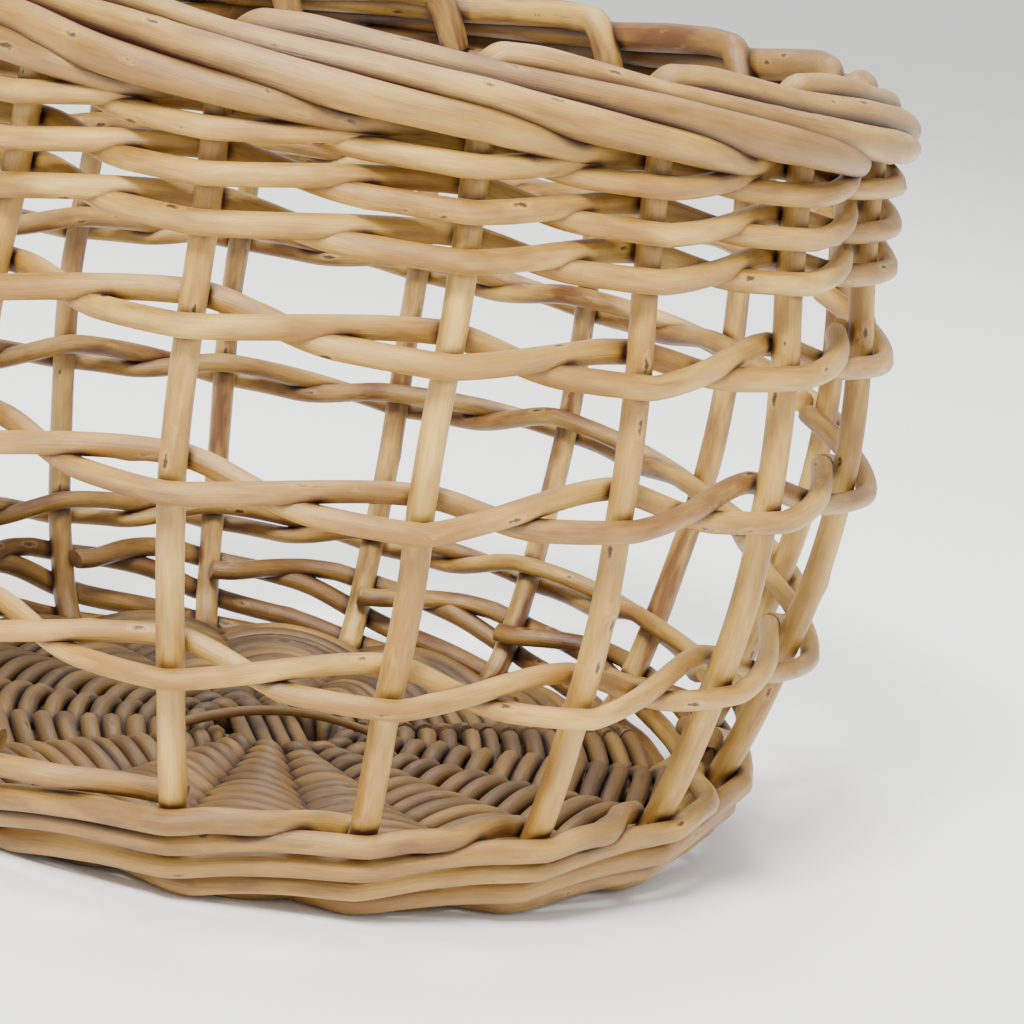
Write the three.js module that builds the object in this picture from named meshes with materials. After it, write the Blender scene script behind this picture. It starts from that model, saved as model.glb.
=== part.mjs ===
// Round woven willow fruit basket, open at the top, standing on its own base.
// Units are millimetres, +Z is up, the origin is the middle of the underside.
import * as THREE from 'three';

// ---- driving dimensions ----
const STAKES = 16;
const STEP = (2 * Math.PI) / STAKES;
const GAP = 0.4;

const STAKE_R = 3.1;
const WEAVER_R = 2.75;
const UPPER_WEAVER_R = 2.2;
const WALE_R = 2.7;
const BORDER_R = 3.9;
const BASE_STICK_R = 2.0;

const BASE_Z = 5.5;
const STAKE_TOP_Z = 171;
const STAKE_FOOT_R = 89;
const BASE_STICK_END_R = 91;

// Wall line: radius and height of the stakes' centre line, foot to rim.
const WALL = [
  [STAKE_FOOT_R, BASE_Z],
  [96, 6],
  [101.5, 9],
  [105.5, 14],
  [109.8, 24],
  [118, 51],
  [123.6, 76],
  [125.6, 102],
  [124.4, 125],
  [121.8, 145.5],
  [120, STAKE_TOP_Z],
];

// The pairing is one spiral of two rods: level across the front, it climbs to
// its next height round the back. Three open turns, then three close ones.
const PAIRING_FROM_Z = 29;
const PAIRING_ROWS = [
  { z: 55.8, radius: WEAVER_R },
  { z: 96.2, radius: WEAVER_R },
  { z: 127.8, radius: WEAVER_R },
  { z: 147.4, radius: UPPER_WEAVER_R },
  { z: 157.1, radius: UPPER_WEAVER_R },
  { z: 166.8, radius: UPPER_WEAVER_R },
];
// The climb: place in stakes, share of the way up to the next row.
const CLIMB = [
  [15.3, 0],
  [17.6, 0.46],
  [22.5, 0.52],
  [26, 1],
];

const WALE_ROWS = [
  { z: WALE_R * Math.cos(Math.PI / 5), front: 102, back: 102 },
  { z: 7.8, front: 107.9, back: 107.9 },
  { z: 13.6, front: 111.8, back: 96.6 },
  { z: 19.4, front: 115.4, back: 101.6 },
];
const WALE_BEHIND_EVERY = 4;

const BASE_BANDS = 4;
const BASE_BAND_FROM_R = 31;
const BASE_BAND_TO_R = 86;
const BASE_BAND_T = 2.0;
const SLATH_PITCH = 4.4;
const SLATH_OPENS_R = 13;
const SLATH_LIFT = 2.25;

const BORDER_SPAN = 2.86;
const BORDER_Z = 187.8;
const BORDER_DROP = 5;
const BORDER_IN = -7.2;
const BORDER_OUT = 6.4;
const BORDER_TUCK = 2;
const BORDER_START_R = -8.8;
const BORDER_START_Z = 173.2;

// ---- materials ----
const willow = (color, roughness) =>
  new THREE.MeshStandardMaterial({ color, roughness, metalness: 0 });
const MAT = {
  stake: willow(0xd8bd8c, 0.6),
  weaver: willow(0xcfb283, 0.62),
  wale: willow(0xc4a273, 0.65),
  border: willow(0xd0ad7c, 0.58),
  base: willow(0xa98558, 0.7),
};

// ---- helpers ----
const basket = new THREE.Group();
basket.name = 'woven_fruit_basket';

// A run of rod whose stations are spaced evenly in its own parameter.
class Run extends THREE.Curve {
  constructor(at) {
    super();
    this.at = at;
  }

  getPoint(t) {
    return this.at(t);
  }

  getPointAt(t) {
    return this.at(t);
  }

  getTangentAt(t) {
    const d = 0.002;
    const ahead = this.at(Math.min(1, t + d));
    const behind = this.at(Math.max(0, t - d));
    return ahead.sub(behind).normalize();
  }
}

const polar = (r, angle, z) =>
  new THREE.Vector3(r * Math.cos(angle), r * Math.sin(angle), z);

const ease = (x) => {
  const c = Math.min(1, Math.max(0, x));
  return c * c * (3 - 2 * c);
};

// Regular outline with one flat side facing along its first axis.
function rodOutline(radius, sides) {
  const pts = [];
  for (let i = 0; i < sides; i += 1) {
    const a = ((i + 0.5) / sides) * 2 * Math.PI;
    pts.push(new THREE.Vector2(radius * Math.cos(a), radius * Math.sin(a)));
  }
  return new THREE.Shape(pts);
}

function bandOutline(thickness, width) {
  const t = thickness / 2;
  const w = width / 2;
  return new THREE.Shape([
    new THREE.Vector2(t, -w),
    new THREE.Vector2(t, w),
    new THREE.Vector2(-t, w),
    new THREE.Vector2(-t, -w),
  ]);
}

function sweep(name, outline, at, steps, material) {
  const geometry = new THREE.ExtrudeGeometry(outline, {
    steps,
    extrudePath: new Run(at),
    bevelEnabled: false,
  });
  const mesh = new THREE.Mesh(geometry, material);
  mesh.name = name;
  basket.add(mesh);
}

const two = (n) => String(n).padStart(2, '0');

// ---- wall line ----
const wallCurve = new THREE.CatmullRomCurve3(
  WALL.map(([r, z]) => new THREE.Vector3(r, 0, z)),
  false,
  'centripetal',
);

// Radius of the stakes' centre line at a height.
function wallRadius(z) {
  let lo = 0;
  let hi = 1;
  for (let i = 0; i < 30; i += 1) {
    const mid = (lo + hi) / 2;
    if (wallCurve.getPoint(mid).z < z) lo = mid;
    else hi = mid;
  }
  return wallCurve.getPoint((lo + hi) / 2).x;
}

// ---- side stakes ----
function sideStake(i) {
  const angle = i * STEP;
  const at = (t) => {
    const p = wallCurve.getPoint(t);
    return polar(p.x, angle, p.z);
  };
  sweep(`stake_${two(i + 1)}`, rodOutline(STAKE_R, 5), at, WALL.length - 1, MAT.stake);
}

// ---- pairing ----
// Height of a pairing row at a place given in stakes; past its end it runs on
// into the next row's climb.
function pairingLevel(row, turn) {
  if (turn - CLIMB[0][0] > STAKES && row + 1 < PAIRING_ROWS.length) {
    return pairingLevel(row + 1, turn - STAKES);
  }
  const below = row === 0 ? PAIRING_FROM_Z : PAIRING_ROWS[row - 1].z;
  let climb = turn < CLIMB[0][0] ? 0 : 1;
  for (let i = 1; i < CLIMB.length; i += 1) {
    const [from, low] = CLIMB[i - 1];
    const [to, high] = CLIMB[i];
    if (turn >= from && turn < to) climb = low + ((high - low) * (turn - from)) / (to - from);
  }
  return below + (PAIRING_ROWS[row].z - below) * climb;
}

// Two rods change places between stakes: the one in front lies low at a
// stake, climbs over the other, then passes behind the next stake.
function pairingRod(row, phase) {
  const { radius } = PAIRING_ROWS[row];
  const reach = STAKE_R + radius + 2 * GAP;
  const lift = radius + GAP / 2;
  const first = Math.floor(CLIMB[0][0]) + phase;
  const at = (t) => {
    const turn = first + 0.03 + t * (STAKES - 0.06);
    const level = pairingLevel(row, turn);
    const u = (((turn - phase) % 2) + 2) % 2;
    const half = u < 1 ? 1 : -1;
    const v = u < 1 ? u : u - 1;
    const out = half * (1 - 2 * ease((v - 0.4) / 0.56));
    const up = half * (2 * ease((v - 0.02) / 0.36) - 1);
    return polar(wallRadius(level) + reach * out, turn * STEP, level + lift * up);
  };
  const name = `pairing_${row + 1}_${phase === 0 ? 'a' : 'b'}`;
  sweep(name, rodOutline(radius, 5), at, STAKES * 3, MAT.weaver);
}

// ---- foot wale ----
function waleRod(i) {
  const row = WALE_ROWS[i];
  const start = i * 1.0 + 2;
  const at = (t) => {
    const turn = start + 0.04 + t * (STAKES - 0.08);
    const m = (((turn - start) % WALE_BEHIND_EVERY) + WALE_BEHIND_EVERY) % WALE_BEHIND_EVERY;
    const away = Math.min(m, WALE_BEHIND_EVERY - m);
    const r = row.back + (row.front - row.back) * ease((away - 0.2) / 0.62);
    return polar(r, turn * STEP, row.z);
  };
  const outline = rodOutline(WALE_R, 5);
  sweep(`wale_rod_${i + 1}`, outline, at, STAKES * 3, MAT.wale);
}

// ---- base ----
// Eight base sticks: four laid across four, opened out to sixteen spokes.
function baseStick(i) {
  const across = i >= 4;
  const k = (i % 4) - 1.5;
  const turn = across ? Math.PI / 2 : 0;
  const offset = k * SLATH_PITCH;
  const spoke = k * STEP;
  const level = BASE_Z + (across ? 1 : -1) * SLATH_LIFT;
  const at = (t) => {
    const s = (2 * t - 1) * BASE_STICK_END_R;
    const far = Math.abs(s);
    const open = ease((far - SLATH_OPENS_R) / (BASE_BAND_FROM_R - SLATH_OPENS_R));
    const side = offset * (1 - open) + far * Math.sin(spoke) * open;
    const along = Math.sign(s) * (far * (1 - open) + far * Math.cos(spoke) * open);
    const z = level + (BASE_Z - level) * open;
    const c = Math.cos(turn);
    const d = Math.sin(turn);
    return new THREE.Vector3(along * c - side * d, along * d + side * c, z);
  };
  sweep(`base_stick_${i + 1}`, rodOutline(BASE_STICK_R, 5), at, 14, MAT.base);
}

// One group of rounds of base weaving, over one spoke and under the next.
function baseBand(i) {
  const pitch = (BASE_BAND_TO_R - BASE_BAND_FROM_R) / BASE_BANDS;
  const r = BASE_BAND_FROM_R + pitch * (i + 0.5);
  const reach = BASE_STICK_R + BASE_BAND_T / 2 + GAP + 0.25;
  const phase = i % 2;
  const at = (t) => {
    const turn = phase + 0.5 + 0.03 + t * (STAKES - 0.06);
    const u = (((turn - 0.5 - phase) % 2) + 2) % 2;
    const half = u < 1 ? 1 : -1;
    const v = u < 1 ? u : u - 1;
    const up = half * (1 - 2 * ease((v - 0.3) / 0.4));
    return polar(r, turn * STEP, BASE_Z + reach * up);
  };
  const outline = bandOutline(BASE_BAND_T, pitch - GAP);
  sweep(`base_weave_${i + 1}`, outline, at, STAKES * 4, MAT.base);
}

// ---- border ----
// Each border rod rises inside the rim beside its stake, bends over the top
// and runs outwards and down across the next stakes.
function borderRod(i) {
  const r0 = wallRadius(STAKE_TOP_Z - 1);
  const at = (t) => {
    const u = 0.15 + t * (BORDER_SPAN - 0.15);
    const rise = ease((u - 0.15) / 0.3);
    const tuck = ease((u - 2.55) / 0.31);
    const lineR = BORDER_IN + BORDER_OUT * Math.min(u, 2.55);
    const lineZ = BORDER_Z - BORDER_DROP * u;
    const r = BORDER_START_R + (lineR - BORDER_START_R) * rise;
    const z = BORDER_START_Z + (lineZ - BORDER_START_Z) * Math.sqrt(rise) - BORDER_TUCK * tuck;
    return polar(r0 + r, (i + u) * STEP, z);
  };
  sweep(`border_rod_${two(i + 1)}`, rodOutline(BORDER_R, 6), at, 14, MAT.border);
}

for (let i = 0; i < 8; i += 1) baseStick(i);
for (let i = 0; i < BASE_BANDS; i += 1) baseBand(i);
for (let i = 0; i < STAKES; i += 1) sideStake(i);
for (let i = 0; i < WALE_ROWS.length; i += 1) waleRod(i);
PAIRING_ROWS.forEach((_, row) => {
  pairingRod(row, 0);
  pairingRod(row, 1);
});
for (let i = 0; i < STAKES; i += 1) borderRod(i);

export default basket;
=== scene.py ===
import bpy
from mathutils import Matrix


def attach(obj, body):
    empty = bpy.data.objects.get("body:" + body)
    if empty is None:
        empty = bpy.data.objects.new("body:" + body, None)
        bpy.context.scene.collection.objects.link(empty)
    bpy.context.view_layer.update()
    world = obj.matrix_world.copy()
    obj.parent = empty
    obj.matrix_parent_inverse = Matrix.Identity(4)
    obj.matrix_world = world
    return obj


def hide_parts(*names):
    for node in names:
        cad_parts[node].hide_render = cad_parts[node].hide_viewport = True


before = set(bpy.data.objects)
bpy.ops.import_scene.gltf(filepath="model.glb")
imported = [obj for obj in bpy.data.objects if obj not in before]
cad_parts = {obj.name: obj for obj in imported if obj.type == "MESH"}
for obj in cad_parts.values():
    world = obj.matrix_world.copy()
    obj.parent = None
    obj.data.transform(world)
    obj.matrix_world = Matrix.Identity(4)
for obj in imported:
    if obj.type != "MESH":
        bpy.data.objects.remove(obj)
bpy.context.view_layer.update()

import math

import bpy
import numpy as np
from mathutils import Matrix, Vector
from mathutils.kdtree import KDTree

MM = 0.001
TAU = 2 * math.pi

# ---- the basket's own sizes, in millimetres ----
STAKES = 16
STEP = TAU / STAKES
STAKE_R = 3.05
WALE_R = 2.85
BORDER_R = 4.0
SPOKE_R = 2.1
BASE_ROD_R = 2.45
BASE_Z = 6.6
STAKE_TOP = 171.5

# Stakes' centre line, foot to rim: radius and height.
WALL = [(89, 5.5), (96, 6), (101.5, 9), (105.5, 14), (109.8, 24), (118, 51), (123.6, 76),
        (125.6, 102), (124.4, 125), (121.8, 145.5), (120, 171), (119.8, 180)]
# The pairing is one long spiral of two rods: level across the front, it climbs round the back.
WALE_TOP = 25.5
ROWS = (56.0, 96.4, 128.0, 148.2, 157.7, 166.9)
ROW_R = (2.4, 2.6, 2.7, 2.62, 2.62, 2.62)
ROW_LIFT = (3.4, 3.0, 2.6, 2.1, 2.1, 2.0)
# The climb: places in stakes, and the share of the way up to the next row at each.
CLIMB = ((15.3, 17.6, 22.5, 26.0), (0, 0.46, 0.52, 1))

# Hand spacing: how far a stake stands from its even place, in degrees, at three heights.
DRIFT_Z = (23, 95, 170)
DRIFT = {1: (1.0, 1.3, 1.2), 2: (1.3, 2.2, 2.2), 3: (1.8, 2.6, 2.4), 4: (2.0, 2.5, 2.0),
         5: (1.2, 1.4, 0.8), 7: (-0.6, 0, 0.5), 9: (0.5, 0.3, 0), 10: (0.7, 1.4, 1.7),
         11: (2.9, 0.1, -1.1), 12: (1.7, 0.7, 1.5), 13: (0.1, -1.5, -1.3),
         14: (-0.9, -3.2, -3.3), 15: (0.4, 0, -0.8)}
# How far a row dips or rises at a stake, in millimetres.
ROW_DIP = {0: {13: -0.6, 14: 1.0, 1: -1.5, 2: -3.5, 3: -4, 4: -3.5, 5: -4.5, 6: -4.5, 7: -2},
           1: {11: -0.8, 12: -2.2, 13: 1.0, 14: 1.4, 2: 1.6, 3: -1.5, 5: 1.0},
           2: {11: 0.8, 13: -0.8, 14: 0.8, 15: -1.2, 2: -1.5, 4: 1.2}}


def rng(*key):
    return np.random.default_rng([7, *[abs(int(k)) for k in key]])


def ease(x):
    c = np.clip(x, 0, 1)
    return c * c * (3 - 2 * c)


def azimuth(u, z=95.0):
    """Angle of a place given in stakes, following the stakes' uneven spacing."""
    k = np.arange(-2 * STAKES, 4 * STAKES)
    low, mid, top = (k * STEP + np.radians([DRIFT.get(int(i) % STAKES, (0, 0, 0))[h] for i in k])
                     for h in range(3))
    a, b, c = np.interp(u, k, low), np.interp(u, k, mid), np.interp(u, k, top)
    foot, belly, rim = DRIFT_Z
    lower = a + (b - a) * np.clip((z - foot) / (belly - foot), 0, 1)
    return lower + (c - b) * np.clip((z - belly) / (rim - belly), 0, 1)


def wall_curve():
    """The wall line as a smooth curve through its points."""
    p = np.array(WALL, float)
    d = np.r_[0, np.cumsum(np.hypot(*np.diff(p, axis=0).T))]
    m = np.gradient(p, d, axis=0)
    s = np.linspace(0, d[-1], 400)
    i = np.clip(np.searchsorted(d, s, side="right") - 1, 0, len(d) - 2)
    h = d[i + 1] - d[i]
    t = ((s - d[i]) / h)[:, None]
    h = h[:, None]
    return ((2 * t**3 - 3 * t**2 + 1) * p[i] + (t**3 - 2 * t**2 + t) * h * m[i]
            + (-2 * t**3 + 3 * t**2) * p[i + 1] + (t**3 - t**2) * h * m[i + 1])


WALL_LINE = wall_curve()


def wall_radius(z):
    return np.interp(z, WALL_LINE[:, 1], WALL_LINE[:, 0])


def polar(r, a, z):
    return np.stack([r * np.cos(a), r * np.sin(a), z + 0 * a], -1)


def soft_noise(s, scale, seed, amount):
    """Smooth seeded wander along a rod."""
    g = rng(seed, 11)
    out = np.zeros_like(s)
    for k in range(1, 4):
        out += g.normal() / k * np.sin(TAU * s * k / (scale * 3) + g.uniform(0, TAU))
    return out * amount


# ---- rods ----
LINES = []
PILES = []
# How far apart two rods' centre lines may be and still paint shade on one another, in millimetres.
CONTACT_SHADE_REACH = 10.5


def frames(p):
    """Tangent, side and up of a path, turned as little as possible along it."""
    t = np.gradient(p, axis=0)
    t /= np.linalg.norm(t, axis=1)[:, None]
    n = np.zeros_like(t)
    ref = np.array([0, 0, 1.0]) if abs(t[0, 2]) < 0.8 else np.array([p[0, 0], p[0, 1], 0]) + 1e-6
    n[0] = ref - t[0] * ref.dot(t[0])
    n[0] /= np.linalg.norm(n[0])
    for i in range(1, len(p)):
        v = n[i - 1] - t[i] * n[i - 1].dot(t[i])
        n[i] = v / np.linalg.norm(v)
    return t, n, np.cross(t, n)


def back_shade_and_low_tone(p):
    """Painted shade: rods are painted browner round the back, where the inside of the far wall lies in
    shade, and they are browner towards the bottom.
    """
    back = p[:, 1] / np.maximum(np.hypot(p[:, 0], p[:, 1]), 1)
    return 0.8 * ease((back + 0.25) / 0.9) + 0.25 * ease((9 - p[:, 2]) / 8)


class Pile:
    """Closed rods gathered into one mesh."""

    def __init__(self):
        self.v, self.f, self.flat, self.co, self.tint, self.count = [], [], [], [], [], 0
        self.lines, self.mesh = [], None
        PILES.append(self)

    def rod(self, p, radius, seed, tint, sides=12, taper=(1.0, 1.0), buds=True, wander=0.0,
            cut=(0.35, 0.35)):
        p = np.asarray(p, float)
        g = rng(seed, 3)
        seg = np.r_[0, np.cumsum(np.linalg.norm(np.diff(p, axis=0), axis=1))]
        length = seg[-1]
        t, n, b = frames(p)
        if wander:
            p = p + n * soft_noise(seg, 40, seed, wander)[:, None]
            p = p + b * soft_noise(seg, 55, seed + 5, wander)[:, None]
        w = seg / length
        r = radius * np.interp(w, np.linspace(0, 1, len(taper)), taper)
        r = r * (1 + soft_noise(seg, 24, seed + 9, 0.018))
        th = np.arange(sides) / sides * TAU + g.uniform(0, TAU)
        oval = 1 + 0.035 * np.cos(2 * th + g.uniform(0, TAU))
        rr = r[:, None] * oval[None, :]
        if buds:
            s0, side = g.uniform(8, 40), g.uniform(0, TAU)
            while s0 < length - 6:
                d = np.abs((th - side + math.pi) % TAU - math.pi)
                hump = np.exp(-((seg - s0) / 2.3) ** 2)[:, None] * np.exp(-(d / 0.55) ** 2)[None, :]
                rr = rr + hump * g.uniform(0.15, 0.5)
                s0 += g.uniform(26, 70)
                side += math.pi * g.uniform(0.7, 1.3)
        ring = (p[:, None, :] + rr[:, :, None] * (np.cos(th)[None, :, None] * n[:, None, :]
                + np.sin(th)[None, :, None] * b[:, None, :]))
        for end in (0, -1):
            slope = cut[0 if end == 0 else 1] * g.uniform(0.3, 1.0)
            ring[end] += t[end] * (rr[end] * np.cos(th - g.uniform(0, TAU)) * slope)[:, None]
        m = len(p)
        idx = np.arange(m * sides).reshape(m, sides) + self.count
        nxt = np.roll(idx, -1, axis=1)
        quads = np.stack([idx[:-1], nxt[:-1], nxt[1:], idx[1:]], -1).reshape(-1, 4)
        self.f += quads.tolist()
        self.flat += [False] * len(quads)
        self.f += [idx[0][::-1].tolist(), idx[-1].tolist()]
        self.flat += [True, True]
        self.v.append(ring.reshape(-1, 3))
        start = g.uniform(0, 900)
        co = np.stack([np.repeat((seg + start) * MM, sides),
                       (rr * np.cos(th)).ravel() * MM, (rr * np.sin(th)).ravel() * MM], -1)
        self.co.append(co)
        shade = np.tile([tint[0], tint[1], g.uniform(0, 1)], (m, 1))
        # painted shade on the back half of the basket, and browner towards the bottom
        shade[:, 0] += back_shade_and_low_tone(p)
        self.tint.append(np.repeat(shade, sides, 0))
        self.lines.append(len(LINES))
        LINES.append((p, r, np.cos(th)[None, :, None] * n[:, None, :]
                      + np.sin(th)[None, :, None] * b[:, None, :]))
        self.count += m * sides

    def piece(self, name, material, nodes):
        mesh = bpy.data.meshes.new(name)
        v = np.concatenate(self.v) * MM
        mesh.from_pydata(v.tolist(), [], self.f)
        mesh.polygons.foreach_set("use_smooth", [not x for x in self.flat])
        a = mesh.attributes.new("rodco", "FLOAT_VECTOR", "POINT")
        a.data.foreach_set("vector", np.concatenate(self.co).ravel())
        c = mesh.attributes.new("tint", "FLOAT_VECTOR", "POINT")
        c.data.foreach_set("vector", np.concatenate(self.tint).ravel())
        mesh.update()
        self.mesh = mesh
        o = bpy.data.objects.new(name, mesh)
        bpy.context.scene.collection.objects.link(o)
        o.data.materials.append(material)
        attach(o, "root")
        if nodes:
            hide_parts(*nodes)
        return o


def paint_contact_shade():
    """Paint shade where rods touch: mark how closely each point of a rod's surface faces another rod, as
    painted ambient occlusion.
    """
    own = np.concatenate([np.full(len(x[0]), i) for i, x in enumerate(LINES)])
    mid = np.concatenate([x[0] for x in LINES])
    rad = np.concatenate([x[1] for x in LINES])
    tree = KDTree(len(mid))
    for i, q in enumerate(mid):
        tree.insert(q, i)
    tree.balance()
    for pile in PILES:
        marks = []
        for k in pile.lines:
            p, r, out = LINES[k]
            mark = np.zeros(out.shape[:2])
            for i, q in enumerate(p):
                near = [(h[1], h[2]) for h in tree.find_range(q, CONTACT_SHADE_REACH) if own[h[1]] != k]
                if not near:
                    continue
                j = np.array([h[0] for h in near])
                d = np.array([h[1] for h in near])
                gap = np.maximum(d - rad[j] - r[i], 0)
                way = (mid[j] - q) / np.maximum(d, 0.1)[:, None]
                facing = np.clip(out[i] @ way.T, 0, 1) ** 2 * np.exp(-gap / 1.1)[None, :]
                mark[i] = facing.max(axis=1)
            marks.append(mark.ravel())
        a = pile.mesh.attributes.new("contact_shade", "FLOAT", "POINT")
        a.data.foreach_set("value", np.concatenate(marks))


def stations(length, pitch=1.3):
    """Evenly spread places along a rod, from 0 to 1."""
    return np.linspace(0, 1, max(8, int(length / pitch)))


# ---- materials ----
def lin(c):
    return tuple((x / 12.92 if x <= 0.04045 else ((x + 0.055) / 1.055) ** 2.4) for x in c) + (1,)


def rgb(r, g, b):
    return lin((r / 255, g / 255, b / 255))


def node(nt, kind, **sockets):
    n = nt.nodes.new(kind)
    for k, v in sockets.items():
        n.inputs[k.replace("_", " ")].default_value = v
    return n


def ramp(nt, stops):
    n = nt.nodes.new("ShaderNodeValToRGB")
    e = n.color_ramp.elements
    while len(e) < len(stops):
        e.new(0.5)
    for x, (pos, col) in zip(e, stops):
        x.position = pos
        x.color = col
    return n


def mix(nt, kind, fac, a, b):
    n = nt.nodes.new("ShaderNodeMix")
    n.data_type = "RGBA"
    n.blend_type = kind
    for sock, val in ((n.inputs[0], fac), (n.inputs[6], a), (n.inputs[7], b)):
        if hasattr(val, "is_output"):
            nt.links.new(val, sock)
        else:
            sock.default_value = val
    return n.outputs[2]


def willow(name, pale, mid, brown, rough=0.5, dirt=0.5):
    """Peeled willow: three tones, how rough it is and how strong its stains are."""
    m = bpy.data.materials.new(name)
    m.use_nodes = True
    nt = m.node_tree
    out = nt.nodes["Material Output"]
    bsdf = nt.nodes["Principled BSDF"]
    link = nt.links.new

    co = nt.nodes.new("ShaderNodeAttribute")
    co.attribute_name = "rodco"
    tint = nt.nodes.new("ShaderNodeAttribute")
    tint.attribute_name = "tint"
    sep = nt.nodes.new("ShaderNodeSeparateXYZ")
    link(tint.outputs["Vector"], sep.inputs[0])

    def stretched(along, across):
        v = nt.nodes.new("ShaderNodeVectorMath")
        v.operation = "MULTIPLY"
        link(co.outputs["Vector"], v.inputs[0])
        v.inputs[1].default_value = (along, across, across)
        return v.outputs[0]

    def noise(along, across, detail, roughness=0.6):
        n = node(nt, "ShaderNodeTexNoise", Scale=1.0, Detail=detail, Roughness=roughness)
        link(stretched(along, across), n.inputs["Vector"])
        return n.outputs["Fac"]

    def sharpen(value, lo, hi):
        n = nt.nodes.new("ShaderNodeMapRange")
        link(value, n.inputs[0])
        n.inputs[1].default_value = lo
        n.inputs[2].default_value = hi
        return n.outputs[0]

    # rod to rod colour, then blotches, whitish bloom and lengthwise grain
    base = mix(nt, "MIX", sep.outputs[0], mid, brown)
    blotch = sharpen(noise(38, 160, 3), 0.38, 0.66)
    colour = mix(nt, "MIX", blotch, base, mix(nt, "MIX", sep.outputs[1], pale, base))
    bloom = sharpen(noise(14, 60, 2), 0.52, 0.8)
    colour = mix(nt, "MIX", bloom, colour, mix(nt, "MIX", 0.55, colour, pale))
    grain = sharpen(noise(70, 2600, 4, 0.7), 0.3, 0.72)
    grain_col = ramp(nt, [(0.0, (0.72, 0.66, 0.58, 1)), (0.55, (1, 1, 1, 1)),
                          (1.0, (1.08, 1.07, 1.05, 1))])
    link(grain, grain_col.inputs[0])
    colour = mix(nt, "MULTIPLY", 0.75, colour, grain_col.outputs[0])
    fine = sharpen(noise(420, 1800, 3, 0.7), 0.35, 0.7)
    fine_col = ramp(nt, [(0.0, (0.8, 0.75, 0.68, 1)), (0.6, (1, 1, 1, 1))])
    link(fine, fine_col.inputs[0])
    colour = mix(nt, "MULTIPLY", 0.35, colour, fine_col.outputs[0])

    # bud scars: a dark fleck in a faint pale ring, few along a rod
    bud = node(nt, "ShaderNodeTexVoronoi", Scale=1.0, Randomness=1.0)
    bend = node(nt, "ShaderNodeTexNoise", Scale=900.0, Detail=2.0)
    link(co.outputs["Vector"], bend.inputs["Vector"])
    place = nt.nodes.new("ShaderNodeVectorMath")
    place.operation = "MULTIPLY_ADD"
    link(bend.outputs["Color"], place.inputs[0])
    place.inputs[1].default_value = (0.3, 0.3, 0.3)
    link(stretched(90, 240), place.inputs[2])
    link(place.outputs[0], bud.inputs["Vector"])
    rare = sharpen(noise(34, 130, 1), 0.51, 0.54)
    bud_mask = ramp(nt, [(0.0, (1, 1, 1, 1)), (0.1, (0.9, 0.9, 0.9, 1)), (0.15, (0, 0, 0, 1))])
    link(bud.outputs["Distance"], bud_mask.inputs[0])
    fleck = mix(nt, "MULTIPLY", 1.0, bud_mask.outputs[0], rare)
    bloomed = ramp(nt, [(0.11, (0, 0, 0, 1)), (0.2, (0.32, 0.32, 0.32, 1)), (0.3, (0, 0, 0, 1))])
    link(bud.outputs["Distance"], bloomed.inputs[0])
    colour = mix(nt, "MIX", mix(nt, "MULTIPLY", 1.0, bloomed.outputs[0], rare), colour, pale)
    colour = mix(nt, "MIX", fleck, colour, rgb(50, 30, 14))
    # stains: long brown streaks
    stain = sharpen(noise(22, 900, 4, 0.65), 0.62, 0.82)
    colour = mix(nt, "MIX", stain, colour, mix(nt, "MULTIPLY", dirt, colour, rgb(178, 128, 80)))
    # painted shade where rods touch: the colour darkens where a rod faces another, standing in for
    # ambient occlusion
    contact_shade = nt.nodes.new("ShaderNodeAttribute")
    contact_shade.attribute_name = "contact_shade"
    dark = mix(nt, "MULTIPLY", 1.0, colour, rgb(104, 68, 36))
    colour = mix(nt, "MIX", sharpen(contact_shade.outputs["Fac"], 0.22, 0.7), colour, dark)
    link(colour, bsdf.inputs["Base Color"])

    rough_ramp = ramp(nt, [(0.0, (rough - 0.1,) * 3 + (1,)), (1.0, (rough + 0.16,) * 3 + (1,))])
    link(grain, rough_ramp.inputs[0])
    link(rough_ramp.outputs[0], bsdf.inputs["Roughness"])
    bsdf.inputs["Specular IOR Level"].default_value = 0.5
    bsdf.inputs["Sheen Weight"].default_value = 0.03
    bsdf.inputs["Sheen Roughness"].default_value = 0.4
    bsdf.inputs["Coat Weight"].default_value = 0.14
    bsdf.inputs["Coat Roughness"].default_value = 0.35

    bump = node(nt, "ShaderNodeBump", Strength=0.35, Distance=0.0004)
    link(grain, bump.inputs["Height"])
    bump2 = node(nt, "ShaderNodeBump", Strength=0.6, Distance=0.0006)
    inv = nt.nodes.new("ShaderNodeMath")
    inv.operation = "MINIMUM"
    link(bud.outputs["Distance"], inv.inputs[0])
    inv.inputs[1].default_value = 0.2
    link(inv.outputs[0], bump2.inputs["Height"])
    link(bump.outputs[0], bump2.inputs["Normal"])
    link(bump2.outputs[0], bsdf.inputs["Normal"])
    link(bsdf.outputs[0], out.inputs[0])
    return m


M_STAKE = willow("willow stake", rgb(203, 167, 84), rgb(152, 110, 34), rgb(96, 54, 14), 0.42, 0.6)
M_WEAVER = willow("willow weaver", rgb(200, 163, 80), rgb(146, 104, 30), rgb(98, 54, 12), 0.42, 0.7)
M_WALE = willow("willow wale", rgb(184, 146, 68), rgb(132, 94, 30), rgb(86, 48, 12), 0.43, 0.8)
M_BORDER = willow("willow border", rgb(180, 143, 62), rgb(132, 94, 27), rgb(90, 50, 12), 0.4, 0.8)
M_BASE = willow("willow base", rgb(146, 110, 44), rgb(100, 69, 24), rgb(60, 38, 12), 0.55, 0.8)


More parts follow.
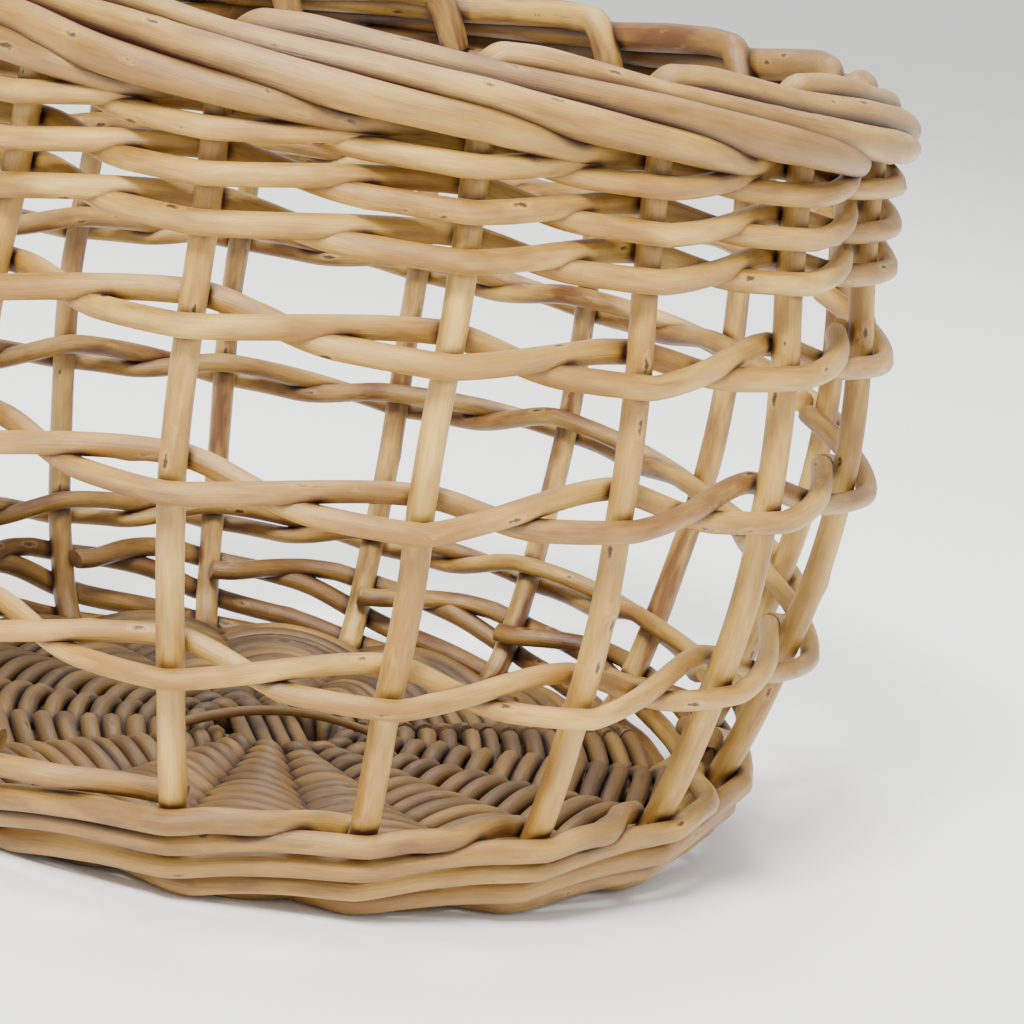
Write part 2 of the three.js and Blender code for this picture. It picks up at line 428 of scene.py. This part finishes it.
# ---- side stakes ----
def stake(i):
    """An upright, from inside the base weave to the rim."""
    pile = Pile()
    s = stations(200)
    r = np.interp(s, np.linspace(0, 1, len(WALL_LINE)), WALL_LINE[:, 0])
    z = np.interp(s, np.linspace(0, 1, len(WALL_LINE)), WALL_LINE[:, 1])
    keep = z <= STAKE_TOP
    r, z = r[keep], z[keep]
    g = rng(i, 21)
    lean = g.normal() * 0.6
    a = azimuth(float(i), z) + (lean * (z / 90 - 1) + soft_noise(z, 60, i, 0.35)) / r
    pile.rod(polar(r, a, z), STAKE_R, 100 + i, (g.uniform(0, 0.25), g.uniform(0, 0.6)),
             sides=14, taper=(1.04, 0.96))
    pile.piece(f"stake_{i + 1:02d}", M_STAKE, [f"stake_{i + 1:02d}"])


# ---- pairing ----
def spiral_level(row, turn):
    """Height of a row at a place given in stakes; past its end it runs into the next climb."""
    past = turn > CLIMB[0][0] + STAKES
    climb = np.interp(turn - STAKES * past, *CLIMB) + past
    climb = np.convolve(np.pad(climb, 20, mode="edge"), np.ones(41) / 41, mode="valid")
    levels = (WALE_TOP,) + ROWS + ROWS[-1:]
    return np.interp(climb, [0, 1, 2], levels[row:row + 3])


def pairing(row, phase, brown, sides=12):
    """One strand of a pairing row: low where it passes outside a stake, it climbs over its
    partner to go in behind the next, then drops inside its partner and comes out again."""
    pile = Pile()
    radius, lift = ROW_R[row], ROW_LIFT[row]
    first = int(CLIMB[0][0]) + phase
    turn = np.linspace(first + 0.05, first + STAKES - 0.05, 620)
    u = (turn - phase) % 2
    half = np.where(u < 1, 1.0, -1.0)
    v = np.where(u < 1, u, u - 1)
    out = half * (1 - 1.3 * ease((v - 0.06) / 0.9) - 0.7 * v)
    climb = 2 * np.sin(np.pi / 2 * v) ** 1.1 - 1
    drop = 1 - 2 * ease((v + 0.02) / 0.62)
    up = np.where(half > 0, climb, drop)
    z0 = spiral_level(row, turn)
    k = np.arange(-1, 3 * STAKES)
    dips = np.interp(turn, k, [ROW_DIP.get(row, {}).get(int(i) % STAKES, 0.0) for i in k])
    z = z0 + lift * up + dips + soft_noise(turn * 49, 130, 40 * row + phase, 0.35)
    r = wall_radius(z0) + (STAKE_R + radius - 0.1) * out
    r = r + soft_noise(turn * 49, 90, 41 * row + phase, 0.2)
    g = rng(row, phase, 5)
    pile.rod(polar(r, azimuth(turn, z), z), radius, 300 + 10 * row + phase,
             (brown + g.uniform(0, 0.15), g.uniform(0, 0.5)), sides=sides, taper=(1.0, 0.97))
    name = f"pairing_{row + 1}_{'ab'[phase]}"
    pile.piece(name, M_WEAVER, [name])


# ---- foot wale ----
WALE_PITCH = 5.75
WALE_REST_Z = 3.4
# Where a stroke starts, levels out and ends, in stakes from its own stake.
WALE_START, WALE_LEVEL, WALE_END = -0.55, 3.2, 4.02
# Strokes whose upper end was left riding up the stakes, in millimetres.
LOOSE_WALE = {0: 4, 1: 5, 2: 5, 3: 5.5, 4: 5, 5: 5, 6: 4, 7: 2, 9: 1, 14: 1.5, 15: 3}


def wale(i):
    """Every fourth stroke of the wale: each climbs from under the foot, outside the
    stakes, and goes in behind the fourth stake along."""
    pile = Pile()
    for k in range(i, STAKES, 4):
        s = np.linspace(WALE_START, WALE_END, 190)
        g = rng(k, 31)
        z = WALE_REST_Z + WALE_PITCH * np.clip(s, -0.5, WALE_LEVEL)
        z = z - 1.1 * np.abs(np.cos(np.pi * s)) ** 3
        z = z + soft_noise(s * 49, 60, 80 + k, 0.45)
        z = np.where(s > WALE_LEVEL, z - 0.8 * (s - WALE_LEVEL), z)
        z = np.maximum(z, WALE_R + 0.5)
        r_out = np.interp(z, [3, 8.8, 14.5, 20.2, 23], [101.5, 106.6, 110.6, 113.4, 114.4])
        r_out = r_out + 1.1 - 2.3 * 4 * (s % 1) * (1 - s % 1)
        r = r_out - 9.0 * ease((0.25 - s) / 0.8) - 11.5 * ease((s - 3.35) / 0.62)
        turn = k + s
        z = z + LOOSE_WALE.get(k, 0) * ease((s - 1.6) / 0.9)
        pile.rod(polar(r, azimuth(turn, z), z), WALE_R * g.uniform(0.95, 1.06), 500 + k,
                 (g.uniform(0, 0.55), g.uniform(0, 0.8)), sides=12, taper=(1.0, 0.92))
    name = f"wale_rod_{i + 1}"
    pile.piece(name, M_WALE, [name])


# ---- border ----
BORDER_BAYS = 4.16
BORDER_BUTT_Z = 171.0
# Share of the rod's length that rises beside the stake before it bends over.
BORDER_RISE = 0.085
# Along the rod, in stakes: how far outside the wall line it lies, and how high.
BORDER_OUT = ((0.1, 0.5, 1, 1.5, 2, 2.5, 3, 3.25, 3.5, 3.75, 4, 4.2),
              (-7, -5.2, -2.6, 0.6, 3.8, 6.2, 6.6, 5.4, 1.6, -3.4, -7.4, -8.6))
BORDER_LEVEL = ((0.1, 0.3, 0.6, 1, 1.5, 2, 2.5, 3, 3.25, 3.5, 4, 4.2),
                (185.2, 185.6, 184.2, 181.9, 180.5, 178.7, 175.9, 173.5, 171.9, 170.4, 169.2, 169))


def border(i):
    """A rod that comes up beside its stake, bends sharply over, lies across three stakes
    and goes in behind the fourth."""
    pile = Pile()
    g = rng(i, 61)
    end = BORDER_BAYS + g.uniform(-0.05, 0.05)
    t = np.linspace(0, 1, 250)
    rise = np.clip(t / BORDER_RISE, 0, 1)
    along = np.maximum(t - BORDER_RISE, 0) / (1 - BORDER_RISE)
    u = 0.12 + (end - 0.12) * along - 0.2 * (1 - rise)
    line_r = np.interp(u, *BORDER_OUT)
    line_z = np.interp(u, *BORDER_LEVEL)
    soft = np.ones(9) / 9
    line_r = np.convolve(np.pad(line_r, 4, mode="edge"), soft, mode="valid")
    line_z = np.convolve(np.pad(line_z, 4, mode="edge"), soft, mode="valid")
    z = BORDER_BUTT_Z + (line_z - BORDER_BUTT_Z) * np.sin(np.pi / 2 * rise)
    z = z + soft_noise(t * 200, 70, i + 40, 0.25)
    r = wall_radius(170.0) + line_r
    pile.rod(polar(r, azimuth(i + u, z), z), BORDER_R * g.uniform(0.95, 1.04), 700 + i,
             (g.uniform(0, 0.4), g.uniform(0, 0.7)), sides=16, cut=(0.2, 0.5),
             taper=(0.9, 0.98, 1.02, 1.04, 1.02, 0.98, 0.86, 0.74, 0.6))
    name = f"border_rod_{i + 1:02d}"
    pile.piece(name, M_BORDER, [name])


# ---- base ----
ROUNDS = 15
BASE_FROM_R, BASE_TO_R = 18.0, 96.5
SLATH_PITCH = 4.4
SLATH_LIFT = 2.15


def spoke(i):
    """A base stick: four lie across four in the middle, opened out to sixteen spokes."""
    pile = Pile()
    across = i >= 4
    k = (i % 4) - 1.5
    s = np.linspace(-94, 94, 150)
    far = np.abs(s)
    opened = ease((far - 13) / 17)
    side = k * SLATH_PITCH * (1 - opened) + far * math.sin(k * STEP) * opened
    along = np.sign(s) * (far * (1 - opened) + far * math.cos(k * STEP) * opened)
    z = BASE_Z + (1 if across else -1) * SLATH_LIFT * (1 - opened)
    x, y = (-side, along) if across else (along, side)
    pile.rod(np.stack([x, y, z], -1), SPOKE_R, 800 + i, (0.4, 0.3), sides=10)
    pile.piece(f"base_stick_{i + 1}", M_BASE, [f"base_stick_{i + 1}"])


def base_round(pile, j):
    """One round of base pairing: two rods that cross between the spokes."""
    pitch = (BASE_TO_R - BASE_FROM_R) / (ROUNDS - 1)
    r0 = BASE_FROM_R + pitch * j
    for strand in (0, 1):
        turn = np.linspace(0.5, 0.5 + STAKES, max(220, int(r0 * 5)))[:-1]
        w = np.cos(np.pi * (turn - 0.5 + strand + j))
        swing = np.sin(np.pi * (turn - 0.5 + strand + j))
        tall = SPOKE_R + BASE_ROD_R * 0.86
        z = BASE_Z + tall * np.sign(w) * np.abs(w) ** 0.8
        r = r0 + 0.28 * pitch * swing + soft_noise(turn * r0 * STEP, 60, j * 3 + strand, 0.3)
        g = rng(j, strand, 71)
        shade = (g.uniform(0.1, 0.7), g.uniform(0, 0.8))
        pile.rod(polar(r, turn * STEP, z), BASE_ROD_R * g.uniform(0.92, 1.06),
                 900 + 2 * j + strand, shade, sides=9, buds=False)


def base_weave():
    share = [(0, 1, 2, 3), (4, 5, 6), (7, 8, 9, 10), (11, 12, 13, 14)]
    for band, rounds in enumerate(share):
        pile = Pile()
        for j in rounds:
            base_round(pile, j)
        name = f"base_weave_{band + 1}"
        pile.piece(name, M_BASE, [name])


def loose_end():
    """A thin weaver's end left lying on the base."""
    pile = Pile()
    t = np.linspace(0, 1, 60)
    x = -25 + 49 * t
    y = -12.5 + 5 * np.sin(1.6 * t)
    z = 13.4 + 4.6 * np.sin(np.pi * t) ** 0.8
    pile.rod(np.stack([x, y, z], -1), 1.35, 990, (0.0, 0.6), sides=10, taper=(1.0, 0.75))
    pile.piece("loose_weaver_end", M_BASE, [])


for i in range(STAKES):
    stake(i)
for row in range(6):
    for phase in (0, 1):
        pairing(row, phase, 0.6 if (row == 1 and phase == 1) else 0.04)
for i in range(4):
    wale(i)
for i in range(STAKES):
    border(i)
for i in range(8):
    spoke(i)
base_weave()
loose_end()
# paint shade into the rods where they touch one another
paint_contact_shade()


# ---- floor, light and camera ----
def plain(name, colour, rough):
    m = bpy.data.materials.new(name)
    m.use_nodes = True
    b = m.node_tree.nodes["Principled BSDF"]
    b.inputs["Base Color"].default_value = colour
    b.inputs["Roughness"].default_value = rough
    return m


def floor():
    mesh = bpy.data.meshes.new("floor")
    s = 6.0
    mesh.from_pydata([(-s, -s, 0), (s, -s, 0), (s, s, 0), (-s, s, 0)], [], [(0, 1, 2, 3)])
    o = bpy.data.objects.new("floor", mesh)
    bpy.context.scene.collection.objects.link(o)
    o.data.materials.append(plain("pale floor", (0.94, 0.94, 0.94, 1), 0.8))


def area(name, pos, look, size, power, colour):
    data = bpy.data.lights.new(name, "AREA")
    data.shape = "DISK"
    data.size = size
    data.energy = power
    data.color = colour
    o = bpy.data.objects.new(name, data)
    o.location = pos
    aim = Vector(look) - Vector(pos)
    o.rotation_euler = aim.to_track_quat("-Z", "Y").to_euler()
    bpy.context.scene.collection.objects.link(o)


def light():
    world = bpy.data.worlds.new("studio")
    world.use_nodes = True
    bg = world.node_tree.nodes["Background"]
    bg.inputs[0].default_value = (1.0, 0.99, 0.975, 1)
    bg.inputs[1].default_value = 1.0
    bpy.context.scene.world = world
    area("key", (-0.7, -1.2, 1.7), (0, 0, 0.1), 0.6, 92, (1.0, 0.98, 0.945))
    area("fill", (1.6, -0.9, 0.7), (0, 0, 0.1), 1.4, 10, (0.97, 0.98, 1.0))
    area("top", (0.1, 0.5, 1.8), (0, 0, 0.1), 1.2, 34, (1.0, 0.99, 0.97))


def camera():
    """Close to the wall, a little above the rim, turned and rolled so that the left of the
    basket runs out of the frame."""
    reach, height, around = 0.778, 0.1243, math.radians(-10.1)
    el, pan, tilt, roll = (math.radians(x) for x in (7.8, 3.61, -3.76, -8.26))
    fwd = Vector((0, math.cos(el), -math.sin(el)))
    right = Vector((1, 0, 0))
    up = right.cross(fwd)
    place = Vector((0, -reach * math.cos(el), reach * math.sin(el) + height))
    right, fwd = right * math.cos(pan) - fwd * math.sin(pan), right * math.sin(pan) + fwd * math.cos(pan)
    up, fwd = up * math.cos(tilt) - fwd * math.sin(tilt), up * math.sin(tilt) + fwd * math.cos(tilt)
    right, up = right * math.cos(roll) - up * math.sin(roll), right * math.sin(roll) + up * math.cos(roll)
    m = Matrix((right, up, -fwd)).transposed().to_4x4()
    m.translation = place
    data = bpy.data.cameras.new("camera")
    data.sensor_width = 36
    data.lens = 115.8
    data.clip_start = 0.02
    o = bpy.data.objects.new("camera", data)
    o.matrix_world = Matrix.Rotation(around, 4, "Z") @ m
    bpy.context.scene.collection.objects.link(o)
    bpy.context.scene.camera = o


floor()
light()
camera()
